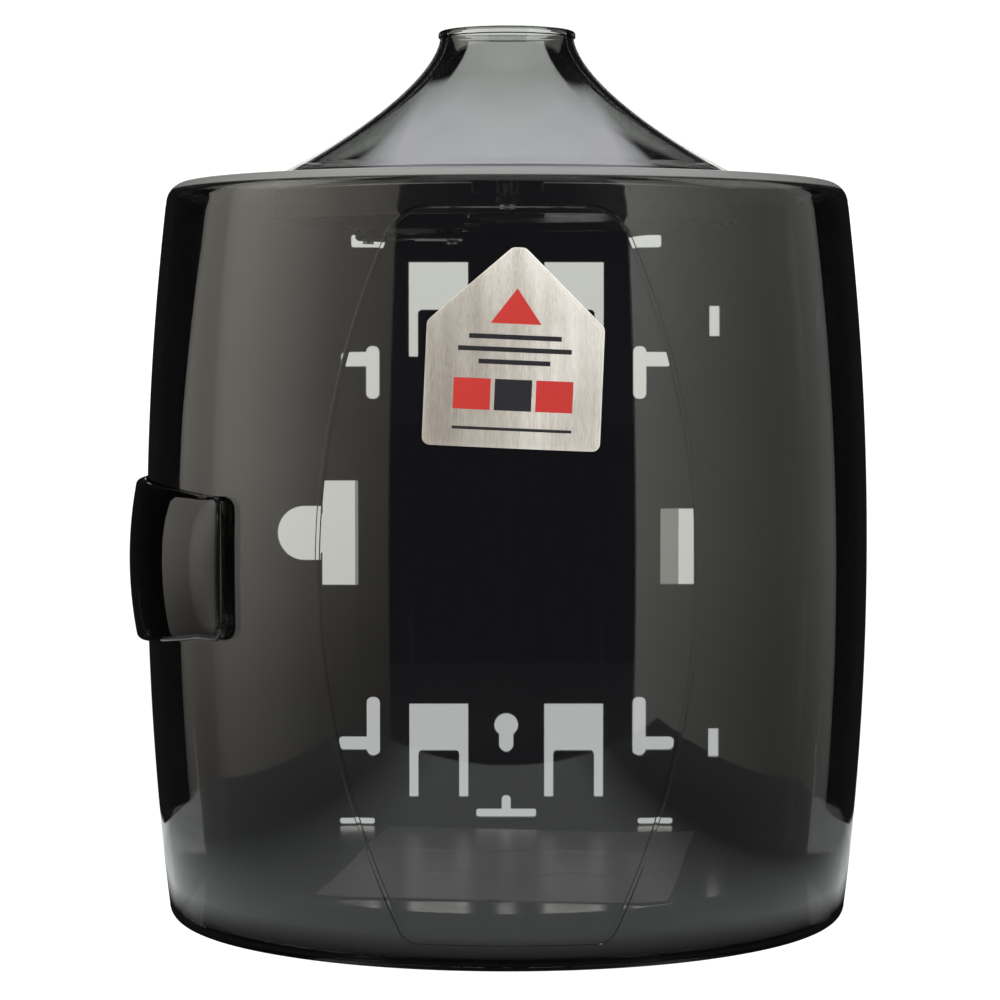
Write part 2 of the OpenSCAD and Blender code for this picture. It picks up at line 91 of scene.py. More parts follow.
def outward(ob, closed=True, probe=None):
    """Makes the faces' normals agree and point out; probe is a function that says if a face points the right way."""
    bm = bmesh.new()
    bm.from_mesh(ob.data)
    bmesh.ops.recalc_face_normals(bm, faces=bm.faces)
    if closed:
        if bm.calc_volume(signed=True) < 0:
            bmesh.ops.reverse_faces(bm, faces=bm.faces)
    elif probe is not None:
        votes = [probe(f.calc_center_median(), f.normal) for f in bm.faces]
        if sum(votes) < 0:
            bmesh.ops.reverse_faces(bm, faces=bm.faces)
    bm.to_mesh(ob.data)
    bm.free()


def apply_modifiers(ob):
    dg = bpy.context.evaluated_depsgraph_get()
    me = bpy.data.meshes.new_from_object(ob.evaluated_get(dg))
    ob.modifiers.clear()
    old = ob.data
    ob.data = me
    bpy.data.meshes.remove(old)
    return ob


def add_bevel(ob, width, segments=2, angle=35.0):
    m = ob.modifiers.new("edge", "BEVEL")
    m.width = width * MM
    m.segments = segments
    m.limit_method = "ANGLE"
    m.angle_limit = math.radians(angle)
    m.use_clamp_overlap = True
    m.harden_normals = False
    return m


def join(name, obs):
    """One object from several, keeping each one's materials."""
    bm = bmesh.new()
    mats = []
    for o in obs:
        start = len(bm.faces)
        bm.from_mesh(o.data)
        bm.faces.ensure_lookup_table()
        local = []
        for m in o.data.materials:
            if m not in mats:
                mats.append(m)
            local.append(mats.index(m))
        for f in bm.faces[start:]:
            if local:
                f.material_index = local[min(f.material_index, len(local) - 1)]
    me = bpy.data.meshes.new(name)
    bm.to_mesh(me)
    bm.free()
    for m in mats:
        me.materials.append(m)
    ob = bpy.data.objects.new(name, me)
    bpy.context.scene.collection.objects.link(ob)
    for o in obs:
        data = o.data
        bpy.data.objects.remove(o)
        if not data.users:
            bpy.data.meshes.remove(data)
    return ob


def quads(rows, cols, closed=False, base=0):
    out = []
    for j in range(rows - 1):
        for i in range(cols if closed else cols - 1):
            a, b = j * cols + i, j * cols + (i + 1) % cols
            out.append((base + a, base + b, base + b + cols, base + a + cols))
    return out


def lathe(name, profile, segments=192, centre=(0.0, 0.0), angle=35.0):
    """A closed profile of (r, z) turned round the vertical through centre."""
    verts, n = [], len(profile)
    for k in range(segments):
        a = 2 * math.pi * k / segments
        for r, z in profile:
            verts.append((centre[0] + r * math.cos(a), centre[1] + r * math.sin(a), z))
    faces = []
    for k in range(segments):
        for i in range(n):
            a, b = k * n + i, k * n + (i + 1) % n
            c, d = ((k + 1) % segments) * n + (i + 1) % n, ((k + 1) % segments) * n + i
            faces.append((a, b, c, d))
    ob = obj_from(name, verts, faces)
    weld(ob)
    outward(ob)
    smooth(ob, angle)
    return ob


def rod(name, x, y, z0, z1, r, r_in=0.0, bevel=0.3, segments=48):
    """Upright round piece with softened rims, hollow if r_in is above 0."""
    b = min(bevel, (z1 - z0) / 3)
    if r_in > 0:
        prof = [(r_in, z0 + b * 0.5), (r_in + b * 0.5, z0), (r - b, z0), (r - b * 0.3, z0 + b * 0.3), (r, z0 + b),
                (r, z1 - b), (r - b * 0.3, z1 - b * 0.3), (r - b, z1), (r_in + b * 0.5, z1), (r_in, z1 - b * 0.5)]
    else:
        prof = [(0.0, z0), (r - b, z0), (r - b * 0.3, z0 + b * 0.3), (r, z0 + b),
                (r, z1 - b), (r - b * 0.3, z1 - b * 0.3), (r - b, z1), (0.0, z1)]
    return lathe(name, prof, segments, (x, y), 50.0)


def block(name, x0, x1, y0, y1, z0, z1, bevel=0.4, segments=2):
    v = [(x, y, z) for z in (z0, z1) for y in (y0, y1) for x in (x0, x1)]
    f = [(0, 2, 3, 1), (4, 5, 7, 6), (0, 1, 5, 4), (1, 3, 7, 5), (3, 2, 6, 7), (2, 0, 4, 6)]
    ob = obj_from(name, v, f)
    add_bevel(ob, bevel, segments, 30)
    apply_modifiers(ob)
    outward(ob)
    smooth(ob, 50)
    return ob


def piece(ob, body, material, replaces=()):
    ob.data.materials.clear() if material is not None else None
    if material is not None:
        ob.data.materials.append(material)
    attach(ob, body)
    if replaces:
        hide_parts(*replaces)
    return ob


# ----------------------------------------------------------------- materials
def new_mat(name):
    m = bpy.data.materials.new(name)
    m.use_nodes = True
    nt = m.node_tree
    nt.nodes.clear()
    out = nt.nodes.new("ShaderNodeOutputMaterial")
    p = nt.nodes.new("ShaderNodeBsdfPrincipled")
    nt.links.new(p.outputs["BSDF"], out.inputs["Surface"])
    return m, nt, p, out


def node(nt, kind, **props):
    n = nt.nodes.new(kind)
    for k, v in props.items():
        setattr(n, k, v)
    return n


def math_node(nt, op, a, b=None, clamp=False):
    n = nt.nodes.new("ShaderNodeMath")
    n.operation = op
    n.use_clamp = clamp
    for i, v in enumerate((a, b)):
        if v is None:
            continue
        if isinstance(v, (int, float)):
            n.inputs[i].default_value = v
        else:
            nt.links.new(v, n.inputs[i])
    return n.outputs[0]


def noise_tex(nt, scale, detail=2.0, rough=0.5, coord=None, stretch=None):
    """Noise over the piece's own coordinates, in metres, so it moves with the piece."""
    tc = nt.nodes.new("ShaderNodeTexCoord")
    src = tc.outputs["Object"]
    if stretch is not None:
        mp = nt.nodes.new("ShaderNodeMapping")
        mp.inputs["Scale"].default_value = stretch
        nt.links.new(src, mp.inputs["Vector"])
        src = mp.outputs["Vector"]
    t = nt.nodes.new("ShaderNodeTexNoise")
    t.inputs["Scale"].default_value = scale
    t.inputs["Detail"].default_value = detail
    t.inputs["Roughness"].default_value = rough
    nt.links.new(src, t.inputs["Vector"])
    return t.outputs["Fac"]


def ramp(nt, fac, stops):
    r = nt.nodes.new("ShaderNodeValToRGB")
    nt.links.new(fac, r.inputs["Fac"])
    els = r.color_ramp.elements
    while len(els) > 1:
        els.remove(els[-1])
    els[0].position, els[0].color = stops[0][0], stops[0][1]
    for pos, col in stops[1:]:
        e = els.new(pos)
        e.color = col
    return r.outputs["Color"]


def remap(nt, value, a, b, c, d):
    n = nt.nodes.new("ShaderNodeMapRange")
    n.clamp = True
    nt.links.new(value, n.inputs["Value"])
    for k, v in zip(("From Min", "From Max", "To Min", "To Max"), (a, b, c, d)):
        n.inputs[k].default_value = v
    return n.outputs["Result"]


def bump(nt, p, height, strength, distance):
    b = nt.nodes.new("ShaderNodeBump")
    b.inputs["Strength"].default_value = strength
    b.inputs["Distance"].default_value = distance
    nt.links.new(height, b.inputs["Height"])
    nt.links.new(b.outputs["Normal"], p.inputs["Normal"])
    return b


def smoke(name, tint, shade, rough=0.015, edge=False):
    """See-through smoked plastic: glass with a grey tint. Light from lamps passes straight through with the same tint.
    With edge, a lit grey band round the top's rounded rim is a painted highlight.
    """
    m, nt, p, out = new_mat(name)
    p.inputs["Base Color"].default_value = (*tint, 1)
    p.inputs["Transmission Weight"].default_value = 1.0
    p.inputs["IOR"].default_value = 1.5
    n = noise_tex(nt, 9.0, 1.0)
    nt.links.new(remap(nt, n, 0.3, 0.7, rough * 0.6, rough * 1.5), p.inputs["Roughness"])
    clear = nt.nodes.new("ShaderNodeBsdfTransparent")
    clear.inputs["Color"].default_value = (*shade, 1)
    lp = nt.nodes.new("ShaderNodeLightPath")
    mix = nt.nodes.new("ShaderNodeMixShader")
    nt.links.new(lp.outputs["Is Shadow Ray"], mix.inputs["Fac"])
    nt.links.new(p.outputs["BSDF"], mix.inputs[1])
    nt.links.new(clear.outputs["BSDF"], mix.inputs[2])
    nt.links.new(mix.outputs["Shader"], out.inputs["Surface"])
    if edge:
        # painted highlight: a lit grey band is mixed into the rounded rim round the flat top, standing in for the light
        # the rim catches
        tc = nt.nodes.new("ShaderNodeTexCoord")
        sep = nt.nodes.new("ShaderNodeSeparateXYZ")
        nt.links.new(tc.outputs["Object"], sep.inputs[0])
        x2 = math_node(nt, "MULTIPLY", sep.outputs["X"], sep.outputs["X"])
        yn = math_node(nt, "MINIMUM", sep.outputs["Y"], 0.0)
        r2 = math_node(nt, "ADD", x2, math_node(nt, "MULTIPLY", yn, yn))
        r = math_node(nt, "SQRT", r2)
        mask = remap(nt, r, 0.1172, 0.1180, 0.0, 1.0)
        mask = math_node(nt, "MULTIPLY", mask, remap(nt, sep.outputs["Z"], 0.2702, 0.2708, 0.0, 1.0))
        mask = math_node(nt, "MULTIPLY", mask, remap(nt, sep.outputs["Y"], 0.088, 0.0905, 1.0, 0.0))
        painted_rim_highlight = nt.nodes.new("ShaderNodeBsdfPrincipled")
        painted_rim_highlight.inputs["Base Color"].default_value = (0.26, 0.265, 0.26, 1)
        painted_rim_highlight.inputs["Roughness"].default_value = 0.35
        top = nt.nodes.new("ShaderNodeMixShader")
        nt.links.new(math_node(nt, "MULTIPLY", mask, 0.8), top.inputs["Fac"])
        nt.links.new(mix.outputs["Shader"], top.inputs[1])
        nt.links.new(painted_rim_highlight.outputs["BSDF"], top.inputs[2])
        nt.links.new(top.outputs["Shader"], out.inputs["Surface"])
    m.use_transparent_shadow = True
    return m


def plastic(name, colour, rough, grain=0.0, grain_scale=2600.0, spread=0.25, spec=0.5):
    """Moulded plastic: even colour with slight flow marks, and a fine surface texture if grain is above 0."""
    m, nt, p, out = new_mat(name)
    n = noise_tex(nt, 14.0, 3.0)
    lo = tuple(c * (1 - spread) for c in colour)
    hi = tuple(c * (1 + spread) for c in colour)
    nt.links.new(ramp(nt, n, [(0.3, (*lo, 1)), (0.7, (*hi, 1))]), p.inputs["Base Color"])
    n2 = noise_tex(nt, 60.0, 4.0)
    nt.links.new(remap(nt, n2, 0.25, 0.75, rough * 0.8, rough * 1.25), p.inputs["Roughness"])
    p.inputs["IOR"].default_value = 1.5
    p.inputs["Specular IOR Level"].default_value = spec
    if grain > 0:
        bump(nt, p, noise_tex(nt, grain_scale, 2.0), grain, 0.0002)
    return m


def metal(name, colour, rough, stretch=(1, 1, 1), scale=900.0, depth=0.15, spread=0.12):
    m, nt, p, out = new_mat(name)
    n = noise_tex(nt, scale, 3.0, 0.6, stretch=stretch)
    lo = tuple(c * (1 - spread) for c in colour)
    hi = tuple(min(1, c * (1 + spread)) for c in colour)
    nt.links.new(ramp(nt, n, [(0.3, (*lo, 1)), (0.7, (*hi, 1))]), p.inputs["Base Color"])
    p.inputs["Metallic"].default_value = 1.0
    nt.links.new(remap(nt, n, 0.25, 0.75, rough * 0.75, rough * 1.3), p.inputs["Roughness"])
    bump(nt, p, n, depth, 0.0001)
    return m


SMOKE = smoke("smoke_clear", (0.455, 0.463, 0.441), (0.60, 0.60, 0.59), edge=True)
SMOKE_CONE = smoke("smoke_cone", (0.53, 0.54, 0.53), (0.68, 0.68, 0.67))
SMOKE_LATCH = smoke("smoke_latch", (0.07, 0.07, 0.07), (0.3, 0.3, 0.3), 0.02)
BLACK = plastic("housing_black", (0.0050, 0.0048, 0.0062), 0.16)
BLACK_IN = plastic("inner_black", (0.0055, 0.0053, 0.0065), 0.3, 0.25)
DIAL = plastic("dial_pale", (0.62, 0.61, 0.57), 0.42, 0.2, spread=0.04)
STEEL = metal("plated_steel", (0.62, 0.62, 0.63), 0.26)
SPRING = metal("spring_steel", (0.5, 0.5, 0.52), 0.32)
RUBBER = plastic("soft_rubber", (0.018, 0.018, 0.018), 0.6, 0.4, 1500)


def film():
    """Thin grey label film that lets some light through."""
    m, nt, p, out = new_mat("label_film")
    p.inputs["Base Color"].default_value = (0.02, 0.02, 0.021, 1)
    n = noise_tex(nt, 700.0, 3.0)
    nt.links.new(remap(nt, n, 0.3, 0.7, 0.22, 0.34), p.inputs["Roughness"])
    clear = nt.nodes.new("ShaderNodeBsdfTransparent")
    clear.inputs["Color"].default_value = (0.62, 0.62, 0.61, 1)
    fr = nt.nodes.new("ShaderNodeFresnel")
    fr.inputs["IOR"].default_value = 1.4
    mix = nt.nodes.new("ShaderNodeMixShader")
    nt.links.new(fr.outputs["Fac"], mix.inputs["Fac"])
    nt.links.new(clear.outputs["BSDF"], mix.inputs[1])
    nt.links.new(p.outputs["BSDF"], mix.inputs[2])
    nt.links.new(mix.outputs["Shader"], out.inputs["Surface"])
    return m


def foil():
    """Brushed metal foil with fine upright brush lines and a soft random change of tone, plus painted reflection:
    darker on the left, lighter on the right and towards the top.
    """
    m, nt, p, out = new_mat("brushed_foil")
    tc = nt.nodes.new("ShaderNodeTexCoord")
    fine = noise_tex(nt, 1.0, 2.0, 0.5, stretch=(5200.0, 5200.0, 55.0))
    broad = noise_tex(nt, 1.0, 2.0, 0.5, stretch=(260.0, 260.0, 6.0))
    soft = noise_tex(nt, 1.0, 1.0, 0.5, stretch=(38.0, 38.0, 17.0))
    tone = math_node(nt, "ADD", math_node(nt, "MULTIPLY", fine, 0.34), math_node(nt, "MULTIPLY", broad, 0.30))
    tone = math_node(nt, "ADD", tone, math_node(nt, "MULTIPLY", soft, 0.55))
    sep = nt.nodes.new("ShaderNodeSeparateXYZ")
    nt.links.new(tc.outputs["Object"], sep.inputs[0])
    # painted reflection: tone made darker on the left, lighter on the right and lighter towards the top of the badge
    tone = math_node(nt, "ADD", tone, remap(nt, sep.outputs["X"], -0.024, 0.034, -0.16, 0.09))
    tone = math_node(nt, "ADD", tone, remap(nt, sep.outputs["Z"], 0.222, 0.244, 0.0, 0.16))
    nt.links.new(ramp(nt, tone, [(0.34, (0.34, 0.31, 0.275, 1)), (0.56, (0.60, 0.57, 0.52, 1)), (0.76, (0.93, 0.905, 0.86, 1)), (0.92, (1.0, 0.985, 0.94, 1))]), p.inputs["Base Color"])
    p.inputs["Metallic"].default_value = 0.15
    nt.links.new(remap(nt, fine, 0.2, 0.8, 0.36, 0.5), p.inputs["Roughness"])
    bump(nt, p, fine, 0.08, 0.00005)
    return m


FILM = film()
FOIL = foil()


def paper():
    m, nt, p, out = new_mat("coated_paper")
    n = noise_tex(nt, 420.0, 5.0, 0.7)
    # painted shade: the grey is far darker than the paper's own off-white, standing in for the dim light under the
    # smoked cover
    nt.links.new(ramp(nt, n, [(0.3, (0.15, 0.152, 0.158, 1)), (0.7, (0.19, 0.192, 0.198, 1))]), p.inputs["Base Color"])
    p.inputs["Roughness"].default_value = 0.34
    p.inputs["Specular IOR Level"].default_value = 0.3
    bump(nt, p, noise_tex(nt, 90.0, 3.0), 0.12, 0.0004)
    return m


def resin():
    m, nt, p, out = new_mat("clear_resin")
    p.inputs["Base Color"].default_value = (0.97, 0.97, 0.96, 1)
    p.inputs["Transmission Weight"].default_value = 1.0
    p.inputs["IOR"].default_value = 1.47
    n = noise_tex(nt, 30.0, 1.0)
    nt.links.new(remap(nt, n, 0.3, 0.7, 0.01, 0.03), p.inputs["Roughness"])
    clear = nt.nodes.new("ShaderNodeBsdfTransparent")
    clear.inputs["Color"].default_value = (0.95, 0.95, 0.95, 1)
    lp = nt.nodes.new("ShaderNodeLightPath")
    mix = nt.nodes.new("ShaderNodeMixShader")
    nt.links.new(lp.outputs["Is Shadow Ray"], mix.inputs["Fac"])
    nt.links.new(p.outputs["BSDF"], mix.inputs[1])
    nt.links.new(clear.outputs["BSDF"], mix.inputs[2])
    nt.links.new(mix.outputs["Shader"], out.inputs["Surface"])
    return m


PAPER = paper()
RESIN = resin()
INK_RED = plastic("ink_red", (0.62, 0.045, 0.035), 0.4, spread=0.1)
INK_DARK = plastic("ink_dark", (0.016, 0.015, 0.017), 0.4, spread=0.1)

# -------------------------------------------------------------------- camera
cam_data = bpy.data.cameras.new("camera")
cam_data.sensor_width = 36.0
cam_data.lens = 117.3
cam_data.clip_start, cam_data.clip_end = 0.05, 30.0
cam = bpy.data.objects.new("camera", cam_data)
bpy.context.scene.collection.objects.link(cam)
cam.location = (-0.0026, -1.223, 0.211)
cam.rotation_euler = (math.radians(90) - math.atan(148.5 / 3258), 0, 0)
bpy.context.scene.camera = cam

# -------------------------------------------------------------- smoked cover
Z_TOP, Z_BOT, R_TOP, R_BOT, STEP, RAISE = 260.6, 9.4, 10.0, 5.0, 0.55, 0.38


def panel_half(z, inset):
    """Half-width of the raised front panel at height z, with rounded corners, drawn in by inset."""
    zt, zb = Z_TOP - inset, Z_BOT + inset
    rt, rb = R_TOP - inset, R_BOT - inset
    zc = min(max(z, zb), zt)
    x = 65.6 - 0.00187 * (zc - 137.2) ** 2 - inset
    if zc > zt - rt:
        x -= rt - math.sqrt(max(0.0, rt * rt - (zc - zt + rt) ** 2))
    if zc < zb + rb:
        x -= rb - math.sqrt(max(0.0, rb * rb - (zb + rb - zc) ** 2))
    return x


def make_cover():
    y1 = SPLIT_Y - GAP
    zs = [FB * (1 - math.cos(math.radians(a))) for a in range(0, 91, 10)]
    body = [FB + i * 3.6 for i in range(1, 73) if FB + i * 3.6 < BODY_H - FT_FRONT - 1]
    for a in range(0, 91, 9):
        body.append(Z_TOP - R_TOP + R_TOP * math.sin(math.radians(a)))
        body.append(Z_BOT + R_BOT - R_BOT * math.sin(math.radians(a)))
    body += [Z_TOP - STEP, Z_BOT + STEP, Z_TOP + 0.3, Z_TOP - STEP - 0.3, Z_BOT - 0.3, Z_BOT + STEP + 0.3]
    keep = sorted(z for z in body if FB + 0.4 < z < BODY_H - FT_FRONT - 0.6)
    clean = [keep[0]]
    exact = {round(Z_TOP, 3), round(Z_TOP - STEP, 3), round(Z_BOT, 3), round(Z_BOT + STEP, 3)}
    for z in keep[1:]:
        if z - clean[-1] > 0.24:
            clean.append(z)
        elif round(z, 3) in exact and round(clean[-1], 3) not in exact:
            clean[-1] = z
    zs += clean
    n_in, n_out, n_side = 44, 40, 16
    cols = []  # (kind, value)
    for i in range(n_side):
        cols.append(("L", y1 * (1 - i / n_side)))
    for i in range(n_out):
        cols.append(("oL", i / n_out))
    cols.append(("sL", 0))
    for i in range(n_in + 1):
        cols.append(("in", -1 + 2 * i / n_in))
    cols.append(("sR", 0))
    for i in range(n_out - 1, -1, -1):
        cols.append(("oR", i / n_out))
    for i in range(1, n_side + 1):
        cols.append(("R", y1 * i / n_side))

    def plan_point(kind, v, w, z):
        """Azimuth is measured from the front; w is the half-width of this ring."""
        if kind == "L":
            return (-w, v, z)
        if kind == "R":
            return (w, v, z)
        a_in = math.asin(panel_half(z, STEP) / barrel(z))
        a_out = math.asin(panel_half(z, 0.0) / barrel(z))
        a_in = min(a_in, a_out - 1e-4)
        if kind == "in":
            a = a_in * v
        elif kind[0] == "s":
            a = a_out if kind == "sR" else -a_out
        else:
            t = v  # 0 at the side, 1 at the panel's edge
            a = math.pi / 2 + (a_out - math.pi / 2) * (1 - (1 - t) ** 1.0)
            a = -a if kind == "oL" else a
        raised = kind == "in" and Z_BOT + STEP - 1e-3 <= z <= Z_TOP - STEP + 1e-3
        r = w + (RAISE if raised else 0.0)
        return (r * math.sin(a), -r * math.cos(a), z)

    def top_radius(kind, v):
        t = min(1.0, max(0.0, v / y1)) if kind in ("L", "R") else 0.0
        return FT_FRONT + (FT - FT_FRONT) * t * t * (3 - 2 * t)

    def top_drop(kind, v):
        t = min(1.0, max(0.0, v / y1)) if kind in ("L", "R") else 0.0
        return 0.85 * (1 - t * t * (3 - 2 * t))

    def top_point(kind, v, a):
        ft = top_radius(kind, v)
        z = BODY_H - top_drop(kind, v) - ft + ft * math.sin(a)
        return plan_point(kind, v, barrel(BODY_H - ft) - ft + ft * math.cos(a), z)

    rows = []
    for w in (114.0, 116.5, 119.5):
        rows.append([plan_point(k, v, w, 0.0) for k, v in cols])
    for z in zs:
        rows.append([plan_point(k, v, halfw(z), z) for k, v in cols])
    for a in range(0, 91, 9):
        rows.append([top_point(k, v, math.radians(a)) for k, v in cols])
    rim = rows[-1]
    for t in (0.06, 0.2, 0.45, 0.7, 0.9, 1.0):
        row = []
        for x, y, z in rim:
            a = math.atan2(y, x)
            q = (88 * math.cos(a), 88 * math.sin(a))
            row.append((x + (q[0] - x) * t, y + (q[1] - y) * t, BODY_H - (BODY_H - z) * (1 - t) ** 2))
        rows.append(row)
    verts = [p for r in rows for p in r]
    n = len(cols)
    faces = quads(len(rows), n)
    # the strip of the top behind the hole
    corner_l, corner_r = rim[0], rim[-1]
    al = math.atan2(corner_l[1], corner_l[0])
    ar = math.atan2(corner_r[1], corner_r[0])
    m = 40
    base = len(verts)
    for t in (0.0, 0.06, 0.2, 0.45, 0.7, 0.9, 1.0):
        for i in range(m + 1):
            a = ar + (al - ar) * i / m
            px = y1 / math.tan(a) if abs(math.tan(a)) > 1e-9 else 0.0
            if abs(math.cos(a)) < 1e-9:
                px = 0.0
            q = (88 * math.cos(a), 88 * math.sin(a))
            verts.append((px + (q[0] - px) * t, y1 + (q[1] - y1) * t, BODY_H))
    faces += quads(7, m + 1, base=base)
    ob = obj_from("cover_shell_skin", verts, faces)
    weld(ob, 2e-6)
    outward(ob, False, lambda c, nrm: nrm.x * c.x + nrm.y * c.y if c.z < 0.26 else 0.0)
    s = ob.modifiers.new("wall", "SOLIDIFY")
    s.thickness = WALL * MM
    s.offset = -1
    s.use_even_offset = True
    s.use_rim = True
    apply_modifiers(ob)
    weld(ob, 2e-6)
    smooth(ob, 22)
    return ob


cover = make_cover()
parts = [cover]
for z in (42.0, 218.0):
    parts.append(rod("knuckle", HX, HY, z, z + 12, 5.0, 2.05, 0.5, 64))
    bx = barrel(z + 6)
    parts.append(block("arm", bx - 0.4, HX + 3.4, 76.0, HY - 4.6, z, z + 12, 0.8, 3))
for a in (30, 150, 270):
    x, y = 92.5 * math.cos(math.radians(a)), 92.5 * math.sin(math.radians(a))
    parts.append(rod("post", x, y, 264.55, BODY_H - WALL + 0.3, 4.0, 1.3, 0.3))
parts.append(block("pad", -12.5, 12.5, -96.1, -89.1, 265.4, BODY_H - WALL + 0.3, 0.8, 3))
for z in (111.6, 154.6):
    parts.append(rod("lug", LPX, LPY, z, z + 4.0, 1.7, 0.92, 0.3))
cover = join("cover_shell_look", parts)
piece(cover, "cover", SMOKE, ["cover_shell"])


# ---------------------------------------------------------------------- cone
def cone_out(h):
    return 25 + 64.0 * max(0.0, 1 - h / 53) ** 1.57


def cone_in(h):
    return cone_out(h) - 2.4 * math.sqrt(1 + (1.57 * 64.0 / 53 * max(0.0, 1 - h / 53) ** 0.57) ** 2)


def make_cone():
    prof = [(84.6, -WALL + 0.3), (84.9, -WALL), (87.6, -WALL), (87.9, -WALL + 0.3), (87.9, -0.02)]
    outer = []
    for i in range(61):
        h = 53 * (i / 60)
        outer.append((cone_out(h), h))
    outer[0] = (outer[0][0] - 0.35, 0.0)
    outer.insert(1, (cone_out(0.25), 0.25))
    prof += outer
    prof += [(25.35, 53.15), (25.6, 53.45), (25.62, 54.6), (25.45, 55.2), (25.05, 55.6), (24.5, 55.8),
             (23.3, 55.8), (22.75, 55.55), (22.4, 55.1), (22.3, 54.6)]
    for i in range(60, 2, -1):
        h = 53 * (i / 60)
        prof.append((min(cone_in(h), 84.6), h))
    prof += [(82.4, 0.9), (84.0, 0.0), (84.6, -0.6)]
    return lathe("dispensing_cone_look", [(r, z + BODY_H) for r, z in prof], 224, angle=32)


cone = make_cone()
piece(cone, "cover", SMOKE_CONE, ["dispensing_cone"])


# --------------------------------------------------------------- latch handle
def latch_top(s):
    """Height of the handle's upper edge; s is millimetres from the middle of the side towards the front."""
    t = min(1.0, max(0.0, s / 92.0))
    return 164.0 - 3.4 * t * t


def latch_bottom(s):
    t = min(1.0, max(0.0, s / 92.0))
    return 104.5 + 5.6 * t * t


def make_latch():
    r0, edge, corner = 135.2, 1.9, 4.5
    s_end = math.radians(223.7 - 180) * 139.5
    s_rear = -104.0
    zc, hz = 134.25, 29.75

    def place(s, z, r):
        if s <= 0:
            return (-r, -s, z)
        a = math.pi + s / 139.5
        return (r * math.cos(a), r * math.sin(a), z)

    def skin_r(z):
        return 141.0 - 2.4 * ((z - zc) / 27) ** 2

    insets = [0.0, 0.15, 0.45, 0.9, 1.4, 1.9]
    su = [s_rear + e for e in insets]
    k = int((s_end - s_rear - 3.8) / 2.2)
    su += [s_rear + 1.9 + (s_end - s_rear - 3.8) * i / k for i in range(1, k)]
    su += [s_end - e for e in reversed(insets)]
    tv = insets + [1.9 + (1 - 2 * 1.9 / 59.5) * 59.5 * i / 26 for i in range(1, 26)]
    tv += [59.5 - e for e in reversed(insets)]
    grid = []
    for tz in tv:
        row = []
        for s in su:
            zb, zt = latch_bottom(s), latch_top(s)
            hgt = zt - zb
            # distance from the near edge, kept true near the edges
            if tz <= 1.9:
                z = zb + tz
            elif tz >= 59.5 - 1.9:
                z = zt - (59.5 - tz)
            else:
                z = zb + 1.9 + (hgt - 3.8) * (tz - 1.9) / (59.5 - 3.8)
            ss = s
            # round the corners of the outline
            ds, dz = min(ss - s_rear, s_end - ss), min(z - zb, zt - z)
            if ds < corner and dz < corner:
                vx, vz = corner - ds, corner - dz
                d = math.hypot(vx, vz)
                big = max(vx, vz)
                if d > 1e-9:
                    f = big / d
                    vx, vz = vx * f, vz * f
                ds, dz = corner - vx, corner - vz
                ss = s_rear + ds if (ss - s_rear) < (s_end - ss) else s_end - ds
                z = zb + dz if (z - zb) < (zt - z) else zt - dz
                e = corner - math.hypot(vx, vz)
            else:
                e = min(ds, dz)
            e = max(0.0, e)
            top = skin_r(zc + (z - (zb + zt) / 2) * 59.5 / hgt)
            near = max(0.0, min(1.0, 1 - (s_end - s) / 17))
            top -= max(0.0, top - 138.9) * near * near
            r = top - edge + (math.sqrt(max(0.0, edge * edge - (edge - e) ** 2)) if e < edge else edge)
            row.append((ss, z, r))
        grid.append(row)
    rows, cols = len(grid), len(grid[0])
    verts = [place(*p) for r in grid for p in r]
    faces = quads(rows, cols)
    # the wall that goes down from the outline to the handle's foot
    loop = [i for i in range(cols)]
    loop += [j * cols + cols - 1 for j in range(1, rows)]
    loop += [(rows - 1) * cols + i for i in range(cols - 2, -1, -1)]
    loop += [j * cols for j in range(rows - 2, 0, -1)]
    flat = [p for r in grid for p in r]
    base = len(verts)
    for drop in (0.5, 1.0):
        for i in loop:
            s, z, r = flat[i]
            foot = r0 if s < s_end - 8 else r0 + (1.5 * (s - s_end + 8) / 8)
            verts.append(place(s, z, r + (foot - r) * drop))
    n = len(loop)
    for i in range(n):
        j = (i + 1) % n
        faces.append((loop[i], loop[j], base + j, base + i))
        faces.append((base + i, base + j, base + n + j, base + n + i))
    ob = obj_from("latch_skin", verts, faces)
    weld(ob, 2e-6)
    outward(ob, False, lambda c, nrm: nrm.x * c.x + nrm.y * c.y)
    m = ob.modifiers.new("wall", "SOLIDIFY")
    m.thickness = 2.0 * MM
    m.offset = -1
    m.use_even_offset = True
    m.use_rim = True
    apply_modifiers(ob)
    weld(ob, 2e-6)
    smooth(ob, 32)
    return ob


latch = join("latch_handle_look", [make_latch(), rod("barrel", LPX, LPY, 119.4, 154.4, 1.7, 0.95, 0.2, 48)])
piece(latch, "latch", SMOKE_LATCH, ["latch_handle"])


# --------------------------------------------- pieces dressed from the frame
def dressed(name, body, material, bevel=0.0, angle=30.0, segments=2):
    """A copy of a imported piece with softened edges, which stands for it."""
    me = NODES[name].data.copy()
    me.name = name + "_look"
    ob = bpy.data.objects.new(name + "_look", me)
    bpy.context.scene.collection.objects.link(ob)
    weld(ob, 2e-6)
    bm = bmesh.new()
    bm.from_mesh(me)
    bmesh.ops.dissolve_limit(bm, angle_limit=math.radians(0.6), verts=bm.verts, edges=bm.edges)
    bm.to_mesh(me)
    bm.free()
    if bevel > 0:
        add_bevel(ob, bevel, segments, 38)
        apply_modifiers(ob)
        weld(ob, 1e-6)
    smooth(ob, angle)
    if bevel > 0:
        # large flat faces set the normals, so that they stay flat beside their rounded edges
        m = ob.modifiers.new("normals", "WEIGHTED_NORMAL")
        m.mode = "FACE_AREA"
        m.weight = 50
        m.keep_sharp = True
        apply_modifiers(ob)
    piece(ob, body, material, [name])
    return ob


